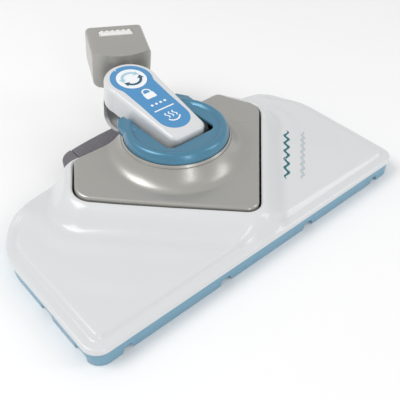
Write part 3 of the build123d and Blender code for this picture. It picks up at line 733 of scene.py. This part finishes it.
class FLOORHEAD_OT_cover(bpy.types.Operator):
    """Builds the grey cover whose plate rises in a smooth dome to the hub"""

    bl_idname = "floorhead.cover"
    bl_label = "Detail head cover"

    def execute(self, context):
        outline = detail_outline(0)
        start, end = math.radians(-234.6), math.radians(54.6)
        dense = resample(outline, 6000)
        angle = np.arctan2(dense[:, 1], dense[:, 0])
        angle = np.where(angle > end, angle - 2 * math.pi, angle)
        arc = np.sort(angle[angle >= start])
        columns = 380
        angles = np.interp(np.linspace(0, len(arc) - 1, columns), np.arange(len(arc)), arc)
        unit = np.stack([np.cos(angles), np.sin(angles)], axis=1)
        outer = ray_reach(outline, angles)
        hub = 38.0
        room = np.maximum(outer - hub, 2.4)
        rows = []

        def height(points):
            radius = np.linalg.norm(points, axis=1)
            plate = skyline(points[:, 1])
            rise = np.clip(1 - (radius - 41.1) / 14.5, 0, 1) ** 2.1
            level = plate + (HUB_HEIGHT - plate) * rise
            level -= 2.2 * smooth_step(radius, 39.0, 39.6) * (1 - smooth_step(radius, 40.4, 40.9))
            edge = distance_to(points, outline)
            level -= 2.4 * (1 - np.sqrt(np.clip(1 - (1 - np.clip(edge / 2.4, 0, 1)) ** 2, 0, 1)))
            return level

        tail = np.array([3.2, 2.4, 1.8, 1.3, 0.9, 0.55, 0.28, 0.1, 0])
        share = tail[0]
        groove = np.array([hub, 39.0, 39.3, 39.6, 40.4, 40.65, 40.9, 41.4])
        for radius in groove[:-1]:
            points = unit * np.minimum(radius, hub + room * 0.1 + radius - hub)[:, None]
            rows.append(np.column_stack([points, height(points)]))
        for t in np.linspace(0, 1, 46)[:-1]:
            inner = np.minimum(groove[-1], hub + room * 0.5)
            points = unit * (inner + (hub + room - np.minimum(share, room * 0.4) - inner) * t)[:, None]
            rows.append(np.column_stack([points, height(points)]))
        for back in tail:
            points = unit * (hub + room - back * np.minimum(share, room * 0.4) / share)[:, None]
            rows.append(np.column_stack([points, height(points)]))
        rim = rows[-1]
        for low in (0.75, 0.5, 0.25, 0.0):
            rows.append(np.column_stack([rim[:, :2], COVER_FOOT + (rim[:, 2] - COVER_FOOT) * low]))
        obj = new_object("grey_cover", np.vstack(rows), grid_faces(len(rows), columns), warm_grey())
        face_up(obj)
        thicken(obj, SHEET_WALL * MM)
        smooth_shade(obj)
        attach(obj, "detail_head")
        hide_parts("detail_cover")
        paint("detail_tray", black_plastic())
        paint("detail_screws", steel())
        paint("detail_pads", woven("hook_tape", (0.80, 0.81, 0.82)))
        return {"FINISHED"}


class FLOORHEAD_OT_hub(bpy.types.Operator):
    """Finishes the blue hub ring"""

    bl_idname = "floorhead.hub"
    bl_label = "Hub ring"

    def execute(self, context):
        ring = from_node("hub_ring", hub_blue(), 0.7, "blue_ring")
        return {"FINISHED"}


class FLOORHEAD_OT_inside(bpy.types.Operator):
    """Finishes the bearings and the steam parts inside the detail head"""

    bl_idname = "floorhead.inside"
    bl_label = "Bearings and steam parts"

    def execute(self, context):
        for node in ("bearing_bracket_left", "bearing_bracket_right", "steam_manifold"):
            paint(node, pale_grey())
        for node in ("tilt_bushes", "detent_plunger", "steam_elbow"):
            paint(node, brass())
        paint("detent_spring", steel())
        paint("steam_hose", rubber())
        return {"FINISHED"}


# ---- arm -------------------------------------------------------------------------------


def arm_outline():
    """The arm's outline from the front edge round the drum, in the arm's own plane."""
    drum_r = 22.0
    a = math.atan2(52.0 - DRUM_REACH, 21.8)
    drum = [
        (drum_r * math.cos(t), DRUM_REACH + drum_r * math.sin(t))
        for t in np.linspace(a, math.pi - a, 60)
    ]
    front = rounded_outline([(-15.8, -17.5), (15.8, -17.5), (21.4, 50), (-21.4, 50)], [7, 7, 0, 0], 10)
    lower = front[:22]
    return resample(np.vstack([lower, drum]), 260)


def inset_outline(outline, amount):
    """The outline moved inwards along its own normals."""
    ahead = np.roll(outline, -1, axis=0) - np.roll(outline, 1, axis=0)
    ahead /= np.linalg.norm(ahead, axis=1)[:, None]
    inward = np.column_stack([-ahead[:, 1], ahead[:, 0]])
    return outline + inward * amount


class FLOORHEAD_OT_arm(bpy.types.Operator):
    """Builds the white arm with its rounded top edge, and finishes the cup and pins"""

    bl_idname = "floorhead.arm"
    bl_label = "Arm"

    def execute(self, context):
        sizes = context.scene.floorhead_sizes
        outline = arm_outline()
        count = len(outline)
        y = outline[:, 1]
        barrel = 24.8
        low = np.where(np.abs(y) < barrel, -np.sqrt(np.clip(barrel ** 2 - y ** 2, 0, None)), 0.0)
        turn = np.degrees(np.arctan2(outline[:, 0], y - DRUM_REACH))
        low = np.where((np.abs(turn) < 50) & (y > DRUM_REACH), 7.9, low)
        edge = sizes.arm_edge / MM
        rows = []
        for share in np.linspace(0, 1, 9):
            z = low + (ARM_TOP - edge - low) * share
            rows.append(np.column_stack([outline, z]))
        for t in np.linspace(0, math.pi / 2, 9)[1:]:
            line = inset_outline(outline, edge * (1 - math.cos(t)))
            rows.append(np.column_stack([line, np.full(count, ARM_TOP - edge + edge * math.sin(t))]))
        verts = np.vstack(rows)
        faces = []
        for r in range(len(rows) - 1):
            for c in range(count):
                d = (c + 1) % count
                faces.append((r * count + c, r * count + d, (r + 1) * count + d, (r + 1) * count + c))
        faces.append(tuple((len(rows) - 1) * count + c for c in range(count)))
        obj = new_object("arm_body", verts, faces, white_gloss(), arm_place)
        thicken(obj, SHEET_WALL * MM)
        smooth_shade(obj)
        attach(obj, "arm")
        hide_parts("arm_shell")
        from_node("lower_cup", white_gloss(), 0.5, "arm_cup")
        paint("tilt_axle", steel())
        paint("swivel_pin", steel())
        paint("swivel_washers", pale_grey())
        paint("arm_steam_tube", rubber())
        paint("steam_coupling", brass())
        return {"FINISHED"}


def label_outline(grow=0.0):
    """The keyhole outline of the label, in the arm's own plane."""
    round_r, round_y = 17.2 + grow, 58.0
    tail_r, tail_y = 13.2 + grow, 4.6
    pts = [(round_r * math.sin(t), round_y + round_r * math.cos(t)) for t in np.linspace(-2.15, 2.15, 60)]
    pts += [(13.4 + grow, 26.0), (13.3 + grow, 12.0)]
    pts += [(tail_r * math.cos(t), tail_y - tail_r * math.sin(t)) for t in np.linspace(0, math.pi, 40)]
    pts += [(-13.3 - grow, 12.0), (-13.4 - grow, 26.0)]
    line = resample(np.array(pts), 220)
    for _ in range(6):
        line = (np.roll(line, 1, axis=0) + 2 * line + np.roll(line, -1, axis=0)) / 4
    return line[::-1]


def slab(name, outline, low, high, material, place):
    """A thin flat piece with the given outline."""
    count = len(outline)
    verts = [(x, y, low) for x, y in outline] + [(x, y, high) for x, y in outline]
    faces = [tuple(range(count - 1, -1, -1)), tuple(range(count, 2 * count))]
    faces += [(i, (i + 1) % count, count + (i + 1) % count, count + i) for i in range(count)]
    obj = new_object(name, verts, faces, material, place, smooth=False)
    outward(obj)
    return obj


def arc_band(centre, radius, width, start, end, steps=24):
    """Outline of a curved band, angles in degrees."""
    t = np.radians(np.linspace(start, end, steps))
    outer, inner = (
        np.column_stack([centre[0] + r * np.cos(t), centre[1] + r * np.sin(t)])
        for r in (radius + width / 2, radius - width / 2)
    )
    return np.vstack([outer, inner[::-1]])


def disc(centre, radius, steps=40):
    t = np.linspace(0, 2 * math.pi, steps, endpoint=False)
    return np.column_stack([centre[0] + radius * np.cos(t), centre[1] + radius * np.sin(t)])


def join(objects, name):
    """Joins meshes into the first object."""
    bm = bmesh.new()
    for obj in objects:
        bm.from_mesh(obj.data)
    first = objects[0]
    mesh = bpy.data.meshes.new(name)
    bm.to_mesh(mesh)
    bm.free()
    mesh.materials.append(first.data.materials[0])
    joined = bpy.data.objects.new(name, mesh)
    bpy.context.scene.collection.objects.link(joined)
    for obj in objects:
        bpy.data.objects.remove(obj)
    return joined


class FLOORHEAD_OT_label(bpy.types.Operator):
    """Builds the blue label and its generic signs"""

    bl_idname = "floorhead.label"
    bl_label = "Label"

    def execute(self, context):
        colours = context.scene.floorhead_colours
        blue = moulded("label_blue", tuple(colours.label), 0.22, coat=0.5, grain=0.01, mottle=0.03)
        white = moulded("label_white", (0.95, 0.96, 0.97), 0.28, coat=0.3, grain=0.01, mottle=0.01)
        teal = moulded("label_teal", (0.13, 0.33, 0.42), 0.3, coat=0.3, grain=0.01, mottle=0.03)
        plate = slab("label_plate", label_outline(), ARM_TOP - 0.7, ARM_TOP + 0.14, blue, arm_place)
        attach(plate, "arm")
        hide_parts("arm_label")
        low, high = ARM_TOP + 0.05, ARM_TOP + 0.24
        mark = [slab("disc_mark", disc((0, DRUM_REACH), 12.3), low, high, white, arm_place)]
        # padlock: body and shackle
        lock = np.array([(-4.7, 30.2), (4.7, 30.2), (4.7, 36.8), (-4.7, 36.8)])
        body = rounded_outline(lock, [1, 1, 1, 1], 4)
        mark.append(slab("lock_body", body, low, high, white, arm_place))
        bow = arc_band((0, 38.2), 3.3, 1.2, 0, 180)
        legs = [
            np.array([(x - 0.6, 36.6), (x + 0.6, 36.6), (x + 0.6, 38.3), (x - 0.6, 38.3)])
            for x in (-3.3, 3.3)
        ]
        for part in (bow, *legs):
            mark.append(slab("lock_bow", part, low, high, white, arm_place))
        tick = np.array([(-5.6, 74.4), (-4.4, 74.9), (-4.8, 72.2)])
        mark.append(slab("tick", tick, low, high, white, arm_place))
        for x in (-6.0, -2.0, 2.0, 6.0):
            mark.append(slab("dot", disc((x, 22.6), 1.15, 20), low, high, white, arm_place))
        bar = np.array([(-9.2, 14.9), (9.2, 14.9), (9.2, 16.1), (-9.2, 16.1)])
        mark.append(slab("bar", rounded_outline(bar, [0.5] * 4, 3), low, high, white, arm_place))
        # three rising wisps over a short line
        for x in (-3.4, 0, 3.4):
            t = np.linspace(0, 1, 16)
            middle = np.column_stack([x + 0.9 * np.sin(t * 2 * math.pi), 4.2 + 6.2 * t])
            outline = np.vstack([middle + (0.55, 0), (middle - (0.55, 0))[::-1]])
            mark.append(slab("wisp", outline, low, high, white, arm_place))
        mark.append(slab("sole", arc_band((0, 5.6), 5.6, 1.2, 205, 335), low, high, white, arm_place))
        signs = join(mark, "label_signs")
        outward(signs)
        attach(signs, "arm")
        # two chasing arrows on the disc: the lower one in dark teal ink, the upper one in pale blue as a
        # painted highlight, glare standing in on the same dark arrow print
        arrow_r = 7.4
        # the pale blue is painted glare: the light that falls on the upper half of the dark arrow, not a
        # colour of its own
        pale = moulded("label_painted_glare", (0.66, 0.80, 0.87), 0.3, coat=0.3, grain=0.01, mottle=0.03)
        for name, turn, ink_and_painted_glare in (("label_arrow_painted_glare", 40, pale), ("label_arrow_dark", 220, teal)):
            arrows = []
            band = arc_band((0, DRUM_REACH), arrow_r, 2.2, turn, turn + 120)
            arrows.append(slab("arrow_band", band, high - 0.02, high + 0.12, ink_and_painted_glare, arm_place))
            for end, way in ((turn, 1), (turn + 120, -1)):
                a = math.radians(end)
                radial = np.array([math.cos(a), math.sin(a)])
                ahead = way * np.array([math.sin(a), -math.cos(a)])
                base = np.array([0, DRUM_REACH]) + radial * arrow_r
                tip = np.array([base - radial * 2.7, base + radial * 2.7, base + ahead * 4.0])
                arrows.append(slab("arrow_tip", tip, high - 0.02, high + 0.12, ink_and_painted_glare, arm_place))
            chase = join(arrows, name)
            outward(chase)
            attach(chase, "arm")
        return {"FINISHED"}


# ---- neck and button -------------------------------------------------------------------


class FLOORHEAD_OT_neck(bpy.types.Operator):
    """Finishes the neck socket, its knuckle and what is inside"""

    bl_idname = "floorhead.neck"
    bl_label = "Neck socket"

    def execute(self, context):
        from_node("neck_housing", warm_grey(), 1.3, "neck_body")
        from_node("neck_knuckle", black_plastic(), 0.4, "neck_eye")
        paint("neck_screws", steel())
        paint("socket_liner", black_plastic())
        paint("steam_inlet", brass())
        paint("inlet_seal", rubber())
        paint("button_spring", steel())
        return {"FINISHED"}


def rib_tree():
    """Geometry nodes: a row of rounded ribs along X."""
    tree = bpy.data.node_groups.new("rib_row", "GeometryNodeTree")
    face = tree.interface
    face.new_socket("Geometry", in_out="OUTPUT", socket_type="NodeSocketGeometry")
    face.new_socket("Count", in_out="INPUT", socket_type="NodeSocketInt")
    for name in ("Spacing", "Rib Width", "Rib Length"):
        face.new_socket(name, in_out="INPUT", socket_type="NodeSocketFloat")
    face.new_socket("Start", in_out="INPUT", socket_type="NodeSocketVector")
    face.new_socket("Material", in_out="INPUT", socket_type="NodeSocketMaterial")
    nodes, links = tree.nodes, tree.links

    def add(kind, **settings):
        node = nodes.new(kind)
        for key, value in settings.items():
            setattr(node, key, value)
        return node

    source = add("NodeGroupInput")
    sink = add("NodeGroupOutput")
    offset = add("ShaderNodeCombineXYZ")
    row = add("GeometryNodeMeshLine", mode="OFFSET")
    rib = add("GeometryNodeMeshUVSphere")
    rib.inputs["Segments"].default_value = 20
    rib.inputs["Rings"].default_value = 12
    rib.inputs["Radius"].default_value = 0.5
    shape = add("ShaderNodeCombineXYZ")
    squeeze = add("GeometryNodeTransform")
    spread = add("GeometryNodeInstanceOnPoints")
    real = add("GeometryNodeRealizeInstances")
    finish = add("GeometryNodeSetMaterial")
    links.new(source.outputs["Count"], row.inputs["Count"])
    links.new(source.outputs["Spacing"], offset.inputs[0])
    links.new(source.outputs["Start"], row.inputs["Start Location"])
    links.new(offset.outputs[0], row.inputs["Offset"])
    links.new(source.outputs["Rib Width"], shape.inputs[0])
    links.new(source.outputs["Rib Length"], shape.inputs[1])
    links.new(source.outputs["Rib Width"], shape.inputs[2])
    links.new(rib.outputs["Mesh"], squeeze.inputs["Geometry"])
    links.new(shape.outputs[0], squeeze.inputs["Scale"])
    links.new(row.outputs[0], spread.inputs["Points"])
    links.new(squeeze.outputs[0], spread.inputs["Instance"])
    links.new(spread.outputs[0], real.inputs[0])
    links.new(real.outputs[0], finish.inputs["Geometry"])
    links.new(source.outputs["Material"], finish.inputs["Material"])
    links.new(finish.outputs[0], sink.inputs[0])
    return tree


def grow_tree(name, tree, values, place):
    """Runs a geometry tree and returns its result as a plain mesh object."""
    mesh = bpy.data.meshes.new(name + "_seed")
    obj = bpy.data.objects.new(name, mesh)
    bpy.context.scene.collection.objects.link(obj)
    modifier = obj.modifiers.new("tree", "NODES")
    modifier.node_group = tree
    keys = {item.name: item.identifier for item in tree.interface.items_tree if item.in_out == "INPUT"}
    for key, value in values.items():
        modifier[keys[key]] = value
    obj.update_tag()
    apply_modifiers(obj)
    obj.data.transform(place)
    if place.determinant() < 0:
        obj.data.flip_normals()
    obj.data.shade_smooth()
    return obj


class FLOORHEAD_OT_button(bpy.types.Operator):
    """Finishes the release button and grows its row of ribs"""

    bl_idname = "floorhead.button"
    bl_label = "Release button"

    def execute(self, context):
        sizes = context.scene.floorhead_sizes
        white = moulded("button_white", (0.92, 0.92, 0.91), 0.3, coat=0.3, grain=0.02, mottle=0.02)
        from_node("release_button", white, 0.5, "button_bar")
        spacing = 4.7
        count = sizes.rib_count
        start = (-spacing * (count - 1) / 2, 65.7, 22.0)
        ribs = grow_tree(
            "button_ribs", rib_tree(),
            {"Count": count, "Spacing": spacing, "Rib Width": sizes.rib_width / MM, "Rib Length": 3.0,
             "Start": start, "Material": white}, neck_place,
        )
        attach(ribs, "release_button")
        return {"FINISHED"}


# ---- printed marks ---------------------------------------------------------------------


def draped_ribbon(name, start, end, width, sway, turns, colour, sizes):
    """A printed line that lies on the white shell."""
    start, end = np.array(start, float), np.array(end, float)
    along = (end - start) / np.linalg.norm(end - start)
    side = np.array([-along[1], along[0]])
    rows = []
    steps = 160
    for t in np.linspace(0, 1, steps):
        middle = start + (end - start) * t + side * sway * math.sin(2 * math.pi * turns * t)
        taper = min(1.0, 10 * t + 0.15, 10 * (1 - t) + 0.15)
        for k in (-1, -0.33, 0.33, 1):
            rows.append(middle + side * k * width / 2 * taper)
    points = np.array(rows)
    height = shell_height(points, sizes)
    verts = np.column_stack([points, height + 0.12])
    obj = new_object(name, verts, grid_faces(steps, 4), colour)
    face_up(obj, weld=False)
    thicken(obj, 0.16 * MM)
    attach(obj, "carriage")
    return obj


class FLOORHEAD_OT_marks(bpy.types.Operator):
    """Prints two plain decorative lines on the white shell"""

    bl_idname = "floorhead.marks"
    bl_label = "Printed lines"

    def execute(self, context):
        sizes, colours = context.scene.floorhead_sizes, context.scene.floorhead_colours
        teal = moulded("mark_teal", tuple(colours.wave_mark), 0.35, grain=0.01, mottle=0.03)
        pale = moulded("mark_pale", tuple(colours.pale_mark), 0.35, grain=0.01, mottle=0.02)
        draped_ribbon("wave_line", (98, -27), (51, -71), 2.4, 1.5, 6, teal, sizes)
        draped_ribbon("pale_line", (109, -36), (60, -79), 2.2, 0.9, 8, pale, sizes)
        return {"FINISHED"}


# ---- panel and registration ------------------------------------------------------------

STEPS = (
    FLOORHEAD_OT_stage, FLOORHEAD_OT_shell, FLOORHEAD_OT_base, FLOORHEAD_OT_step, FLOORHEAD_OT_cover,
    FLOORHEAD_OT_hub, FLOORHEAD_OT_inside, FLOORHEAD_OT_arm, FLOORHEAD_OT_label, FLOORHEAD_OT_neck,
    FLOORHEAD_OT_button, FLOORHEAD_OT_marks,
)


class FLOORHEAD_PT_panel(bpy.types.Panel):
    """Lists the pieces of the floor head"""

    bl_label = "Floor Head"
    bl_idname = "FLOORHEAD_PT_panel"
    bl_space_type = "VIEW_3D"
    bl_region_type = "UI"
    bl_category = "Floor Head"

    def draw(self, context):
        for group in (context.scene.floorhead_sizes, context.scene.floorhead_colours):
            for key in group.__annotations__:
                self.layout.prop(group, key)
        for step in STEPS:
            self.layout.operator(step.bl_idname)


CLASSES = (FloorHeadSizes, FloorHeadColours, *STEPS, FLOORHEAD_PT_panel)


def register():
    for item in CLASSES:
        bpy.utils.register_class(item)
    bpy.types.Scene.floorhead_sizes = PointerProperty(type=FloorHeadSizes)
    bpy.types.Scene.floorhead_colours = PointerProperty(type=FloorHeadColours)


def unregister():
    del bpy.types.Scene.floorhead_colours
    del bpy.types.Scene.floorhead_sizes
    for item in reversed(CLASSES):
        bpy.utils.unregister_class(item)


def main():
    register()
    for step in STEPS:
        group, name = step.bl_idname.split(".")
        getattr(getattr(bpy.ops, group), name)()


if __name__ == "__main__":
    main()
